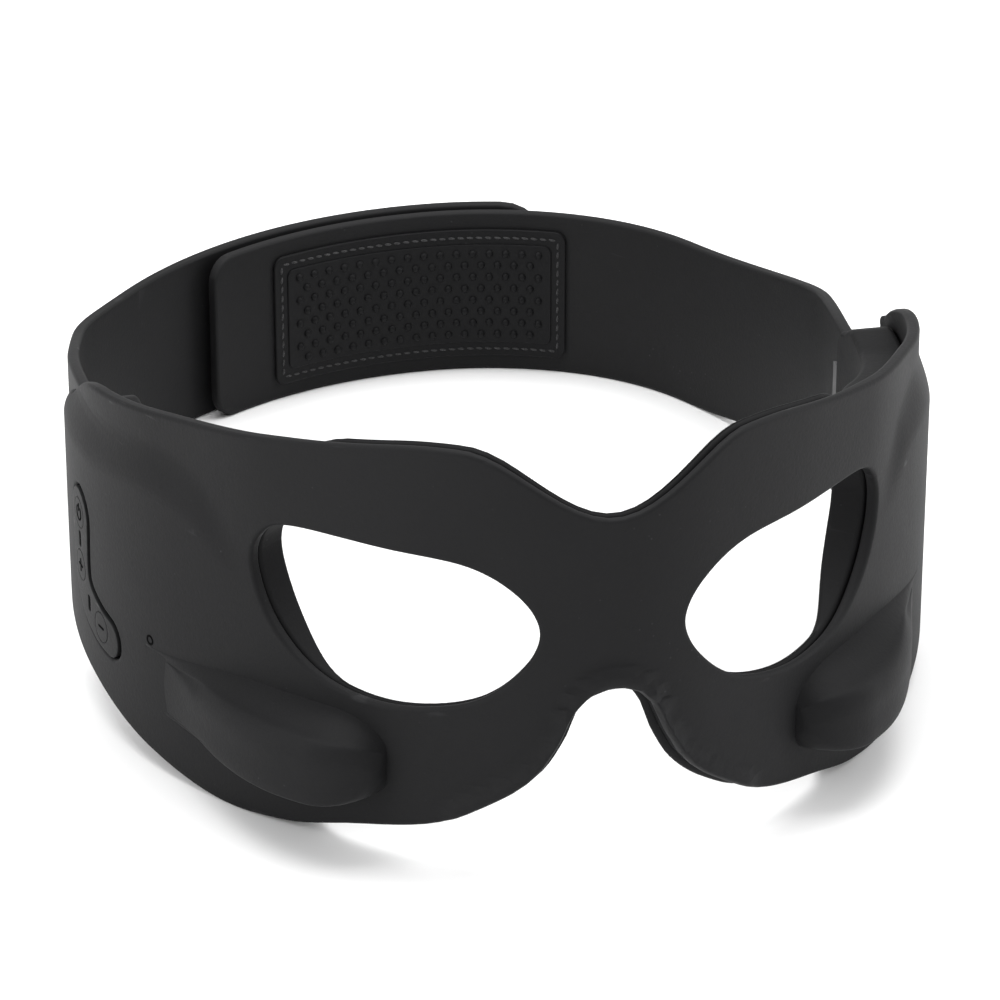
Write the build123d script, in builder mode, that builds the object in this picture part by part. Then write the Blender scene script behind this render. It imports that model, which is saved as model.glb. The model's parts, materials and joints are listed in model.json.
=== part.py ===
from build123d import *
import math
import os

# Eye massager mask: a soft front worn over the brow and cheeks, with a module in each temple
# and a two-piece strap round the head. Millimetres, +Z up. The origin is on the surface the
# mask stands on, under the middle of its box. -Y is the front, +X is the wearer's left, and
# the controls are on the wearer's right.
#
# The front wall is upright and follows a plan curve. A place on it is given by
#   s      distance round the wall from the middle of the nose, positive towards +X
#   depth  distance from the outer face towards the head
#   z      height

# ---- driving dimensions: the plan of the front ----
front_reach = 91.7        # nose face to the line where the strap ring starts
bridge_radius = 38.0
brow_radius = 100.0
cheek_radius = 140.0
temple_radius = 75.0
back_radius = 90.0
bridge_end = 27.0         # headings, in degrees, where each arc hands over to the next
brow_end = 42.0
cheek_end = 57.0
temple_end = 91.0
wall_end = 134.0          # s of the rear edge of each temple
grid = 3.0                # spacing of the places where the layers are drawn

# ---- driving dimensions: heights on the front ----
brow_dip = 65.0
brow_crest = 75.5
crest_at = 25.0           # s of the crest
crest_round = 12.0
brow_fall = 0.18          # drop of the brow edge per mm behind the crest
rear_run = 24.0           # length and drop of the rounded top rear corner
rear_fall = 13.0
notch_height = 35.4
# lower edge: s and height of its turning points
lower_edge = [(0, 35.4), (4, 34.2), (7, 30.5), (9, 25.5), (13, 19.3), (20, 13.8), (30, 8.3),
              (45, 4.6), (58, 1.2), (70, 0.0), (90, 3.0), (112, 8.0), (134, 11.0)]
# eye opening: closed smooth curve through these places
eye_outline = [(12.2, 45), (15.5, 38), (24, 31.4), (38, 28.4), (51, 30.5), (60, 37.3),
               (64, 47), (61.5, 53.3), (55, 55.9), (38, 56.2), (24, 55.6), (15.5, 51.3)]
eye_axis_at = 42.0        # s whose normal the eye is cut along

# ---- driving dimensions: the layers of the front ----
skin_thin = 1.6
skin_thick = 2.2
core_sheet = 0.6
film_sheet = 0.2
film_play = 0.05
liner_thin = 1.0
temple_depth = 12.0       # whole thickness of a temple
liner_wall = 1.5
liner_step = 0.4          # the pocket's roof and floor stand in from the liner's edges
corner_depth = 8.8        # thickness at the outer corner of the eye
layer_play = 0.15
thick_from = 46.0         # s where the liner starts to thicken
corner_at = 64.0
pocket_from = 68.0        # s where the pocket behind the temple starts
pocket_full = 80.0
pocket_drop = 7.0         # pocket roof below the top edge
rear_lip = 3.0            # least height of the skin above the pocket roof
pocket_rise = 2.0         # pocket floor above the lower edge

# ---- driving dimensions: the cheek pods ----
pod_start = 38.0
pod_end = 92.0
pod_reach = 8.6
pod_top = 25.6
pod_ridge = 22.4
pod_foot = 11.0
pod_nose = 9.0            # length over which the blunt inner end rounds off

# ---- driving dimensions: modules ----
case_from = 92.0
case_to = 124.0
case_wall = 1.1
case_floor = 16.0
case_roof = 47.0
case_play = 0.15
module_at = 108.0         # s of the middle of each module
board_width = 23.0
board_height = 27.0
board_thick = 0.8
board_depth = 6.0
switch_size = 4.0
switch_height = 1.5
cell_width = 25.0
cell_height = 27.0
cell_thick = 4.2
cell_depth = 4.9
socket_width = 8.9
socket_tall = 3.2
socket_deep = 6.5
socket_shift = -5.4        # along the board from its middle
port_play = 0.3
key_radius = 2.7
key_gap = 0.12
key_cap = 1.4
stem_radius = 1.2
key_travel = 0.6
stem_rest_gap = 0.15      # stem tip to switch with the key fully pressed
panel_half_width = 4.6
screw_radius = 0.8
screw_head = 1.5
screw_head_height = 0.8
screw_length = 4.5

# ---- driving dimensions: vibration motors ----
motor_radius = 3.0
motor_length = 11.0
motor_at = 50.0
motor_depth = -2.6
motor_height = 16.6
shaft_radius = 0.5
shaft_play = 0.05
weight_radius = 2.4
weight_length = 3.5
motor_play = 0.1

# ---- driving dimensions: the strap ----
strap_side = 73.8         # half width of the ring where the inner strap starts
strap_straight = 37.7
strap_arcs = [(70.3, 100), (111.1, 120), (49.9, 150), (61.3, 180), (77.2, 210),
              (81.3, 240), (39.9, 258), (292.6, 270)]
strap_thick = 2.2
strap_height = 33.5       # height of the band round the back of the head
strap_root_low = 14.0
strap_root_high = 45.0
strap_settle = 80.0       # distance from the root over which it drops to the resting surface
strap_gap = 1.0           # half the space between the overlapping straps
root_run = 40.0           # length over which a strap moves out from its root to the ring
hinge_y = 8.0             # distance of each root along the ring
bead_radius = 2.0
bead_play = 0.06
pin_radius = 0.8
socket_wall = 1.4
outer_swing = 40.0
inner_swing = 20.0
inner_end = 196.0         # distance along the ring where the inner strap ends
outer_start = 122.5       # distance along the ring where the outer strap's free end lies
patch_margin = 4.0
patch_play = 0.15
pad_from = 117.5
pad_to = 181.0
pad_low = 3.2
pad_high = 30.2
pad_thick = 1.0
pad_seam = 2.6
thread = 0.5
thread_proud = 0.25

front_arcs = [(bridge_radius, bridge_end), (brow_radius, brow_end), (cheek_radius, cheek_end),
              (temple_radius, temple_end), (back_radius, 130.0)]
os.makedirs("parts", exist_ok=True)


# ---- plan curves ----
def walk(start, heading, arcs, distance):
    """Point and heading reached after a distance along a chain of tangent arcs."""
    x, y = start
    angle = math.radians(heading)
    left = distance
    for radius, end in arcs:
        turn = math.radians(end) - angle
        length = radius * turn
        step = min(left, length)
        turned = angle + step / radius
        x += radius * (math.sin(turned) - math.sin(angle))
        y += radius * (math.cos(angle) - math.cos(turned))
        angle = turned
        left -= step
        if left <= 1e-9:
            return x, y, angle
    return x + left * math.cos(angle), y + left * math.sin(angle), angle


def ring_plan(u):
    """Place and heading on the strap ring at a distance u from its start at the wearer's left."""
    if u < strap_straight:
        return strap_side, u, math.radians(90)
    return walk((strap_side, strap_straight), 90.0, strap_arcs, u - strap_straight)


def ring_length():
    """Distance round the ring to where its far side comes back level with its start."""
    total = strap_straight
    heading = 90.0
    for radius, end in strap_arcs:
        total += radius * math.radians(end - heading)
        heading = end
    return total + ring_plan(total)[1]


ring_total = ring_length()
ring_back = max(ring_plan(u)[1] for u in range(math.floor(ring_total)))
middle_y = (ring_back + strap_gap + strap_thick - front_reach) / 2


def wall_frame(s):
    """Outer face point, tangent and inward normal of the front wall at s."""
    x, y, angle = walk((0.0, -front_reach), 0.0, front_arcs, abs(s))
    side = 1.0 if s >= 0 else -1.0
    tangent = Vector(math.cos(angle), side * math.sin(angle), 0)
    inward = Vector(-side * math.sin(angle), math.cos(angle), 0)
    return Vector(side * x, y - middle_y, 0), tangent, inward


def ring_frame(u):
    """Point, tangent and inward normal of the strap ring at u."""
    x, y, angle = ring_plan(u)
    return (Vector(x, y - middle_y, 0), Vector(math.cos(angle), math.sin(angle), 0),
            Vector(-math.sin(angle), math.cos(angle), 0))


# ---- outlines on the front ----
def smooth(t):
    t = min(1.0, max(0.0, t))
    return t * t * (3 - 2 * t)


def through(points, s):
    """Smooth curve through the points, never overshooting between them."""
    s = min(max(s, points[0][0]), points[-1][0])
    slopes = [(b[1] - a[1]) / (b[0] - a[0]) for a, b in zip(points, points[1:])]
    tangents = [0.0]
    for before, after in zip(slopes, slopes[1:]):
        tangents.append(0.0 if before * after <= 0 else 2 * before * after / (before + after))
    tangents.append(slopes[-1])
    for i, (a, b) in enumerate(zip(points, points[1:])):
        if s <= b[0]:
            break
    span = b[0] - a[0]
    t = (s - a[0]) / span
    return ((2 * t**3 - 3 * t**2 + 1) * a[1] + (t**3 - 2 * t**2 + t) * span * tangents[i]
            + (3 * t**2 - 2 * t**3) * b[1] + (t**3 - t**2) * span * tangents[i + 1])


def top_edge(s):
    s = abs(s)
    if s < crest_at:
        return brow_dip + (brow_crest - brow_dip) * smooth(s / crest_at)
    past = s - crest_at
    run = past**2 / (2 * crest_round) if past < crest_round else past - crest_round / 2
    height = brow_crest - brow_fall * run
    past_corner = max(0.0, s - wall_end + rear_run) / rear_run
    return height - rear_fall * (1 - math.sqrt(max(0.0, 1 - past_corner**2)))


def low_edge(s):
    return through(lower_edge, abs(s))


def skin_depth(s):
    return skin_thin + (skin_thick - skin_thin) * smooth((abs(s) - thick_from) / 16)


def liner_near(s):
    """Outer face of the liner: close behind the core, then at the back of the pocket."""
    close = skin_thin + core_sheet + film_sheet + 2 * film_play
    back = liner_far(s) - liner_wall
    return close + (back - close) * smooth((abs(s) - pocket_from) / 2.5)


def liner_far(s):
    s = abs(s)
    thin = skin_thin + core_sheet + film_sheet + 2 * film_play + liner_thin
    corner = thin + (corner_depth - thin) * smooth((s - thick_from) / (corner_at - thick_from))
    return corner + (temple_depth - corner_depth) * smooth((s - corner_at) / (pocket_full - corner_at))


def pocket_roof(s):
    """Height of the pocket's roof: well below the brow, nearer the edge at the rear corner."""
    return min(top_edge(min(abs(s), wall_end - rear_run)) - pocket_drop, top_edge(s) - rear_lip)


def pocket_floor(s):
    return low_edge(s) + pocket_rise


# ---- solids that follow the plan ----
def spread(first, last, step):
    """Even steps between two values."""
    count = max(2, round(abs(last - first) / step) + 1)
    return [first + (last - first) * i / (count - 1) for i in range(count)]


def stations(first, last):
    """Places between two distances, on the grid that all layers share so that they meet."""
    low, high = min(first, last), max(first, last)
    inner = [grid * i for i in range(math.ceil(low / grid), math.floor(high / grid) + 1)]
    places = [low] + [s for s in inner if low + 0.3 < s < high - 0.3] + [high]
    return places if first < last else places[::-1]


def section_plane(frame_at, s):
    point, tangent, inward = frame_at(s)
    return Plane(origin=point, x_dir=inward, z_dir=inward.cross(Vector(0, 0, 1)))


def strip(frame_at, stations, near, far, low, high):
    """A wall between two depths and two heights that follows a plan curve."""
    with BuildPart() as made:
        for s in stations:
            with BuildSketch(section_plane(frame_at, s)):
                Polygon((near(s), low(s)), (far(s), low(s)), (far(s), high(s)),
                        (near(s), high(s)), align=None)
        loft(ruled=True)
    return made.part


def flat(value):
    return lambda s: value


def wall_plane(s, depth, height):
    """Plane on the wall at s, facing outwards, its X axis along the wall."""
    point, tangent, inward = wall_frame(s)
    return Plane(origin=point + inward * depth + Vector(0, 0, height), x_dir=tangent,
                 z_dir=inward * -1)


def write(builder, name):
    builder.part.label = name
    export_step(builder.part, f"parts/{name}.step")


def eye_cutter(side, grow):
    """Prism through the wall in the shape of one eye opening, let out all round by grow."""
    aim = wall_plane(side * eye_axis_at, 0, 0)
    middle_s = sum(s for s, z in eye_outline) / len(eye_outline)
    middle_z = sum(z for s, z in eye_outline) / len(eye_outline)
    outline = []
    for s, z in eye_outline:
        reach = math.hypot(s - middle_s, z - middle_z)
        share = 1 + grow / reach
        grown_s = middle_s + (s - middle_s) * share
        grown_z = middle_z + (z - middle_z) * share
        local = aim.to_local_coords(wall_frame(side * grown_s)[0] + Vector(0, 0, grown_z))
        outline.append((local.X, local.Y))
    with BuildPart() as made:
        with BuildSketch(aim):
            with BuildLine():
                Spline(*outline, periodic=True)
            make_face()
        extrude(amount=temple_depth * 3, both=True)
    return made.part


sides = {"left": 1, "right": -1}
wall_stations = stations(-wall_end, wall_end)
eye_cutters = {name: eye_cutter(side, 0) for name, side in sides.items()}


# ---- the cheek pods ----
def pod_shape(s):
    """How far the pod stands out at s: a blunt inner end, then a long taper to the temple."""
    nose = math.sqrt(max(0.0, 1 - (1 - min(1.0, (s - pod_start) / pod_nose)) ** 2))
    tail = 1 - smooth((s - pod_start - 14) / (pod_end - pod_start - 14))
    return pod_reach * nose * tail


def pod(side, inset):
    """Pod outside the wall, or the same shape drawn in by an inset."""
    with BuildPart() as made:
        for s in spread(pod_start + 0.4 + inset, pod_end - 1 - inset, 4.5):
            reach = max(0.05, pod_shape(s) - inset)
            share = reach / pod_reach
            middle = (pod_top + pod_foot) / 2 + 2.0 * (1 - pod_shape(s) / pod_reach)
            upper = middle + (pod_top - middle) * (0.35 + 0.65 * min(1, share * 2)) - inset
            ridge = middle + (pod_ridge - middle) * (0.35 + 0.65 * min(1, share * 2)) - inset
            foot = middle - (middle - pod_foot) * (0.35 + 0.65 * min(1, share * 2)) + inset
            with BuildSketch(section_plane(wall_frame, side * s)):
                Polygon((0.8, upper), (-reach, ridge), (-reach, foot), (0.8, foot - 1.2),
                        align=None)
        loft(ruled=True)
    return made.part


def motor_space(side):
    """Round room in a pod for the motor can and its weight."""
    room = motor_length + weight_length + 2.6
    with BuildPart() as made:
        with BuildSketch(motor_plane(side)):
            Circle(motor_radius + motor_play)
        extrude(amount=room)
    return made.part


def motor_plane(side):
    """Plane across the motor axis at the can's end nearest the nose, looking to the temple."""
    point, tangent, inward = wall_frame(side * (motor_at - motor_length / 2))
    _, middle_tangent, _ = wall_frame(side * motor_at)
    centre = point + inward * motor_depth + Vector(0, 0, motor_height)
    return Plane(origin=centre, x_dir=Vector(0, 0, 1), z_dir=middle_tangent * side)


# ---- the control panel and its keys ----
panel_spine = [(-115.5, 36.4), (-115.5, 26.5), (-112.6, 21.8), (-107.0, 19.4), (-102.4, 18.6)]
key_places = {"power_key": panel_spine[0], "plus_key": panel_spine[1], "minus_key": (-105.6, 19.2)}
window_places = [(-115.5, 31.45), (-111.2, 21.2)]
window_length = 2.8
window_width = 1.1
panel_room = 2 * panel_half_width   # block round the spine that the panel is cut from
panel_stations = stations(panel_spine[0][0] - panel_room, panel_spine[-1][0] + panel_room)
panel_low = panel_spine[-1][1] - panel_room
panel_high = panel_spine[0][1] + panel_room
window_play = 0.03
window_sunk = 0.05
panel_seat = 0.3          # space between the panel and the bottom of its recess
panel_plane = wall_plane(-module_at, 0, 0)


def on_panel(s, z):
    local = panel_plane.to_local_coords(wall_frame(s)[0] + Vector(0, 0, z))
    return local.X, local.Y


def panel_prism(grow):
    """Hockey-stick outline of the control panel, through the wall."""
    spine = [on_panel(s, z) for s, z in panel_spine]
    with BuildPart() as made:
        with BuildSketch(panel_plane):
            for i, (a, b) in enumerate(zip(spine, spine[1:])):
                width = panel_half_width - 0.4 * i + grow
                middle = ((a[0] + b[0]) / 2, (a[1] + b[1]) / 2)
                turn = math.degrees(math.atan2(b[1] - a[1], b[0] - a[0]))
                with Locations(Location(middle + (0,), (0, 0, turn))):
                    SlotCenterToCenter(math.dist(a, b), 2 * width)
        extrude(amount=temple_depth * 2, both=True)
    return made.part


def rod(s, height, radius, near, far):
    """Round rod along the wall's normal, between two depths."""
    with BuildPart() as made:
        with BuildSketch(wall_plane(s, far, height)):
            Circle(radius)
        extrude(amount=far - near)
    return made.part


socket_centre = board_depth + 1.0
socket_mouth = Plane(
    origin=panel_plane.origin - panel_plane.z_dir * socket_centre
    + panel_plane.x_dir * socket_shift + Vector(0, 0, case_floor),
    x_dir=panel_plane.x_dir, z_dir=(0, 0, 1))


def port_hole():
    """Way out for the charging plug, down through the case and the liner's floor."""
    with BuildPart() as made:
        with BuildSketch(socket_mouth.offset(-case_floor)):
            RectangleRounded(socket_width + port_play, socket_tall + port_play,
                             (socket_tall + port_play) / 2 - 0.1)
        extrude(amount=case_floor + case_wall + case_play)
    return made.part


# ---- strap heights and depths ----
def from_root(u):
    """Distance from the nearer root."""
    return min(u, ring_total - u)


def strap_low(u):
    return strap_root_low * (1 - smooth((from_root(u) - hinge_y) / strap_settle))


def strap_high(u):
    drop = strap_root_high - strap_height
    return strap_root_high - drop * smooth((from_root(u) - hinge_y) / strap_settle)


socket_half = bead_radius + bead_play + socket_wall
root_x = wall_frame(wall_end)[0].X - skin_thick - socket_half - case_play
inner_root = strap_side - root_x - strap_thick / 2
outer_root = -ring_frame(ring_total - hinge_y)[0].X - root_x - strap_thick / 2


def inner_near(u):
    return inner_root + (strap_gap - inner_root) * smooth((u - hinge_y) / root_run)


def outer_near(u):
    free = -strap_gap - strap_thick
    return outer_root + (free - outer_root) * smooth((ring_total - u - hinge_y) / root_run)


def add_thickness(near):
    return lambda u: near(u) + strap_thick


def root_axis(side):
    """Centre of a strap's root bead, at floor height."""
    return Vector(side * root_x, hinge_y - middle_y, 0)


# ---- front: skin, core, liner ----
with BuildPart() as front_skin:
    add(strip(wall_frame, wall_stations, flat(0), skin_depth, low_edge, top_edge))
    for name, side in sides.items():
        add(pod(side, 0))
    for name, side in sides.items():
        add(eye_cutters[name], mode=Mode.SUBTRACT)
        add(motor_space(side), mode=Mode.SUBTRACT)
    panel_cut = strip(wall_frame, panel_stations, flat(-1), flat(key_cap), flat(panel_low),
                      flat(panel_high))
    with BuildPart(mode=Mode.PRIVATE) as panel_pocket:
        add(panel_cut)
        add(panel_prism(key_gap), mode=Mode.INTERSECT)
    add(panel_pocket.part, mode=Mode.SUBTRACT)
    for place in key_places.values():
        add(rod(*place, stem_radius + key_gap, -1, skin_thick + 1), mode=Mode.SUBTRACT)
write(front_skin, "front_skin")

core_end = thick_from + 8


def core_top(s):
    return top_edge(s) - 3.0


def core_low(s):
    return low_edge(s) + 3.0


with BuildPart() as core_frame:
    add(strip(wall_frame, stations(-core_end, core_end), skin_depth,
              flat(skin_thin + core_sheet), core_low, core_top))
    for side in sides.values():
        add(eye_cutter(side, 2.5), mode=Mode.SUBTRACT)
        add(motor_space(side), mode=Mode.SUBTRACT)
write(core_frame, "core_frame")

liner_end = wall_end - 4
with BuildPart() as face_liner:
    add(strip(wall_frame, stations(-liner_end, liner_end), liner_near, liner_far,
              lambda s: pocket_floor(s) - pocket_rise * (1 - smooth((abs(s) - corner_at) / 8)),
              lambda s: top_edge(s) + (pocket_roof(s) - top_edge(s)) * smooth((abs(s) - thick_from) / 20)))
    for side in sides.values():
        lid_stations = stations(side * (pocket_from + 1), side * liner_end)
        add(strip(wall_frame, lid_stations, flat(skin_thick + film_play),
                  lambda s: liner_near(s) + 0.6,
                  lambda s: pocket_roof(s) - liner_step - liner_wall,
                  lambda s: pocket_roof(s) - liner_step))
        add(strip(wall_frame, lid_stations, flat(skin_thick + film_play),
                  lambda s: liner_near(s) + 0.6, lambda s: pocket_floor(s) + liner_step,
                  lambda s: pocket_floor(s) + liner_step + liner_wall))
        add(eye_cutters["left" if side > 0 else "right"], mode=Mode.SUBTRACT)
        add(motor_space(side), mode=Mode.SUBTRACT)
    add(port_hole(), mode=Mode.SUBTRACT)
write(face_liner, "face_liner")

# ---- soft bead round the nose notch, on the outer face ----
bead_end = 30.0
bead_width = 5.0
bead_proud = 0.9
bead_drop = 1.2           # how far the bead hangs below the edge of the front
with BuildPart() as nose_pad:
    add(strip(wall_frame, stations(-bead_end, bead_end), liner_far,
              lambda s: liner_far(s) + bead_proud, lambda s: low_edge(s) - bead_drop,
              lambda s: low_edge(s) + bead_width))
write(nose_pad, "nose_pad")


# ---- films between core and liner ----
flex_bridge = 51.0        # height of the cable over the nose
flex_rise = 12.5          # climb from there to the brow
flex_drop = 24.0          # fall from the brow to the modules
film_from = 22.0          # heater films: first and last s, and height of the upper edge
film_to = 44.0
film_top = 25.0
film_margin = 4.5


def flex_height(s):
    s = abs(s)
    return (flex_bridge + flex_rise * smooth(s / crest_at)
            - flex_drop * smooth((s - thick_from - 8) / 30))


film_near = skin_thin + core_sheet + film_play
flex_half = 2.6
flex_end = case_from + 1.5
with BuildPart() as flex_cable:
    add(strip(wall_frame, stations(-flex_end, flex_end), flat(film_near), flat(film_near + film_sheet),
              lambda s: flex_height(s) - flex_half, lambda s: flex_height(s) + flex_half))
write(flex_cable, "flex_cable")

for name, side in sides.items():
    with BuildPart() as heater_film:
        add(strip(wall_frame, stations(side * film_from, side * film_to), flat(film_near),
                  flat(film_near + film_sheet), lambda s: low_edge(s) + film_margin,
                  flat(film_top)))
        add(motor_space(side), mode=Mode.SUBTRACT)
    write(heater_film, f"heater_film_{name}")

# ---- vibration motors ----
for name, side in sides.items():
    axis_plane = motor_plane(side)
    with BuildPart() as motor_can:
        with BuildSketch(axis_plane):
            Circle(motor_radius)
        extrude(amount=motor_length)
        with BuildSketch(axis_plane.offset(1.0)):
            Circle(shaft_radius + shaft_play)
        extrude(amount=motor_length, mode=Mode.SUBTRACT)
    write(motor_can, f"motor_can_{name}")
    with BuildPart() as motor_rotor:
        with BuildSketch(axis_plane.offset(1.2)):
            Circle(shaft_radius)
        extrude(amount=motor_length + weight_length)
        with BuildSketch(axis_plane.offset(motor_length + 0.8)):
            with BuildLine():
                ThreePointArc((0, weight_radius), (-weight_radius, 0), (0, -weight_radius))
                Line((0, -weight_radius), (0, weight_radius))
            make_face()
        extrude(amount=weight_length)
    write(motor_rotor, f"motor_rotor_{name}")

# ---- module cases: a front shell against the skin and a lid towards the head ----
case_near = skin_thick + film_play + film_sheet + case_play
lid_near = temple_depth - liner_wall - case_play - case_wall
screw_spots = [(case_from + 2.4, case_floor + 2.4), (case_from + 2.4, case_roof - 2.4),
               (case_to - 2.4, case_floor + 2.4), (case_to - 2.4, case_roof - 2.4)]


def module_box(side, width, height, near, thick):
    """Flat block in the middle of a module, at a depth."""
    centre_height = (case_floor + case_roof) / 2
    with BuildPart() as made:
        with BuildSketch(wall_plane(side * module_at, near + thick, centre_height)):
            RectangleRounded(width, height, 1.0)
        extrude(amount=thick)
    return made.part


def module_case(side):
    """Front shell of a module: floor, rim and four screw posts."""
    whole = stations(side * case_from, side * case_to)
    hollow = stations(side * (case_from + case_wall), side * (case_to - case_wall))
    with BuildPart() as made:
        add(strip(wall_frame, whole, flat(case_near), flat(lid_near),
                  flat(case_floor), flat(case_roof)))
        add(strip(wall_frame, hollow, flat(case_near + case_wall), flat(lid_near + 1),
                  flat(case_floor + case_wall), flat(case_roof - case_wall)), mode=Mode.SUBTRACT)
        for s, z in screw_spots:
            add(rod(side * s, z, screw_radius + 1.0, case_near + 0.5, lid_near - 0.2))
        for s, z in screw_spots:
            add(rod(side * s, z, screw_radius, lid_near - screw_length + case_wall, lid_near + 1),
                mode=Mode.SUBTRACT)
    return made.part


def module_lid(side):
    whole = stations(side * case_from, side * case_to)
    with BuildPart() as made:
        add(strip(wall_frame, whole, flat(lid_near), flat(lid_near + case_wall),
                  flat(case_floor), flat(case_roof)))
        for s, z in screw_spots:
            add(rod(side * s, z, screw_radius, lid_near - 1, lid_near + 2), mode=Mode.SUBTRACT)
            add(rod(side * s, z, screw_head, lid_near + case_wall - screw_head_height,
                    lid_near + 2), mode=Mode.SUBTRACT)
    return made.part


with BuildPart() as control_case:
    add(module_case(-1))
    for place in key_places.values():
        add(rod(*place, stem_radius + key_gap, 0, case_near + case_wall + 1),
            mode=Mode.SUBTRACT)
    add(port_hole(), mode=Mode.SUBTRACT)
write(control_case, "control_case")
with BuildPart() as battery_case:
    add(module_case(1))
write(battery_case, "battery_case")
for name, side in {"control_case_lid": -1, "battery_case_lid": 1}.items():
    with BuildPart() as case_lid:
        add(module_lid(side))
    write(case_lid, name)

with BuildPart() as case_screws:
    for side in sides.values():
        for s, z in screw_spots:
            top = lid_near + case_wall
            add(rod(side * s, z, screw_radius - 0.02, top - screw_length + 0.3, top - 0.3))
            add(rod(side * s, z, screw_head - 0.1, top - screw_head_height, top - 0.1))
write(case_screws, "case_screws")

with BuildPart() as main_board:
    add(module_box(-1, board_width, board_height, board_depth, board_thick))
    for s, z in screw_spots:
        add(rod(-s, z, screw_radius + 1.3, board_depth - 4, board_depth + 4), mode=Mode.SUBTRACT)
    with BuildSketch(socket_mouth):
        Rectangle(socket_width + 0.4, socket_tall + 2)
    extrude(amount=socket_deep + case_wall + 2 * case_play, mode=Mode.SUBTRACT)
write(main_board, "main_board")

with BuildPart() as battery_cell:
    add(module_box(1, cell_width, cell_height, cell_depth, cell_thick))
    for s, z in screw_spots:
        add(rod(s, z, screw_radius + 1.3, cell_depth - 4, cell_depth + 6), mode=Mode.SUBTRACT)
write(battery_cell, "battery_cell")


# ---- switches, keys and panel ----
def board_face(s):
    """Depth of the board's outer face below the wall at s: the board is flat, the wall curved."""
    board = wall_plane(-module_at, board_depth, 0)
    point, tangent, inward = wall_frame(s)
    return (board.origin - point).dot(board.z_dir) / inward.dot(board.z_dir)


with BuildPart() as tact_switches:
    for s, z in key_places.values():
        depth = board_face(s)
        seat = Plane(origin=wall_frame(s)[0] + wall_frame(s)[2] * depth + Vector(0, 0, z),
                     x_dir=panel_plane.x_dir, z_dir=panel_plane.z_dir)
        with BuildSketch(seat):
            Rectangle(switch_size, switch_size)
        extrude(amount=switch_height)
write(tact_switches, "tact_switches")

with BuildPart() as button_panel:
    add(strip(wall_frame, panel_stations, flat(0), flat(key_cap - panel_seat), flat(panel_low),
              flat(panel_high)))
    add(panel_prism(0), mode=Mode.INTERSECT)
    for place in key_places.values():
        add(rod(*place, key_radius + key_gap, -1, key_cap + 1), mode=Mode.SUBTRACT)
    for s, z in window_places:
        with BuildSketch(wall_plane(s, key_cap, z)):
            Rectangle(window_width, window_length)
        extrude(amount=3, mode=Mode.SUBTRACT)
write(button_panel, "button_panel")

with BuildPart() as led_windows:
    for s, z in window_places:
        with BuildSketch(wall_plane(s, key_cap - panel_seat, z)):
            Rectangle(window_width - 2 * window_play, window_length - 2 * window_play)
        extrude(amount=key_cap - panel_seat - window_sunk)
write(led_windows, "led_windows")

for name, place in key_places.items():
    s, z = place
    stem_end = board_face(s) - switch_height - key_travel - stem_rest_gap
    with BuildPart() as key:
        add(strip(wall_frame, stations(s - 5, s + 5), flat(0), flat(key_cap - key_travel - 0.1),
                  flat(z - 6), flat(z + 6)))
        add(rod(*place, key_radius, -1, key_cap + 2), mode=Mode.INTERSECT)
        add(rod(*place, stem_radius, 0.3, stem_end))
    write(key, name)

# ---- charging socket on the control side, opening down through the temple's floor ----
with BuildPart() as charge_socket:
    with BuildSketch(socket_mouth.offset(case_wall + case_play)):
        RectangleRounded(socket_width, socket_tall, socket_tall / 2 - 0.1)
        RectangleRounded(socket_width - 0.6, socket_tall - 0.6, socket_tall / 2 - 0.4,
                         mode=Mode.SUBTRACT)
    extrude(amount=socket_deep)
    with BuildSketch(socket_mouth.offset(case_wall + case_play + socket_deep - 0.5)):
        RectangleRounded(socket_width, socket_tall, socket_tall / 2 - 0.1)
    extrude(amount=0.5)
    with BuildSketch(socket_mouth.offset(case_wall + case_play + 1.0)):
        Rectangle(socket_width - 2.2, 0.7)
    extrude(amount=socket_deep - 1.0)
write(charge_socket, "charge_socket")

# ---- strap roots: a bead on each strap turns in a socket at the rear of the temple ----
bead_low = strap_root_low + 2.0
bead_high = strap_root_high - 4.0
mouth_reach = 2 * socket_half
mouth_margin = 6.0


def swing_angles(side):
    """Directions, from the root axis, between which the strap needs room."""
    half = math.degrees(math.asin(strap_thick / 2 / bead_radius)) + mouth_margin
    if side > 0:
        return 90 - half, 90 + inner_swing + half
    return 90 - half, 90 + outer_swing + half


for name, side in sides.items():
    axis = root_axis(side)
    with BuildPart() as strap_socket:
        with BuildSketch(Plane(origin=axis + Vector(0, 0, bead_low))):
            Rectangle(2 * socket_half, 2 * socket_half)
            Circle(bead_radius + bead_play, mode=Mode.SUBTRACT)
            first, last = swing_angles(side)
            corners = [(0, 0)]
            for angle in spread(first, last, 30):
                corners.append((mouth_reach * math.cos(math.radians(angle)),
                                mouth_reach * math.sin(math.radians(angle))))
            with BuildLine():
                Polyline(*corners, close=True)
            make_face(mode=Mode.SUBTRACT)
        extrude(amount=bead_high - bead_low)
    write(strap_socket, f"strap_socket_{name}")
    with BuildPart() as root_pin:
        with BuildSketch(Plane(origin=axis + Vector(0, 0, bead_low + 0.5))):
            Circle(pin_radius)
        extrude(amount=bead_high - bead_low - 1.0)
    write(root_pin, f"root_pin_{name}")

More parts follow.
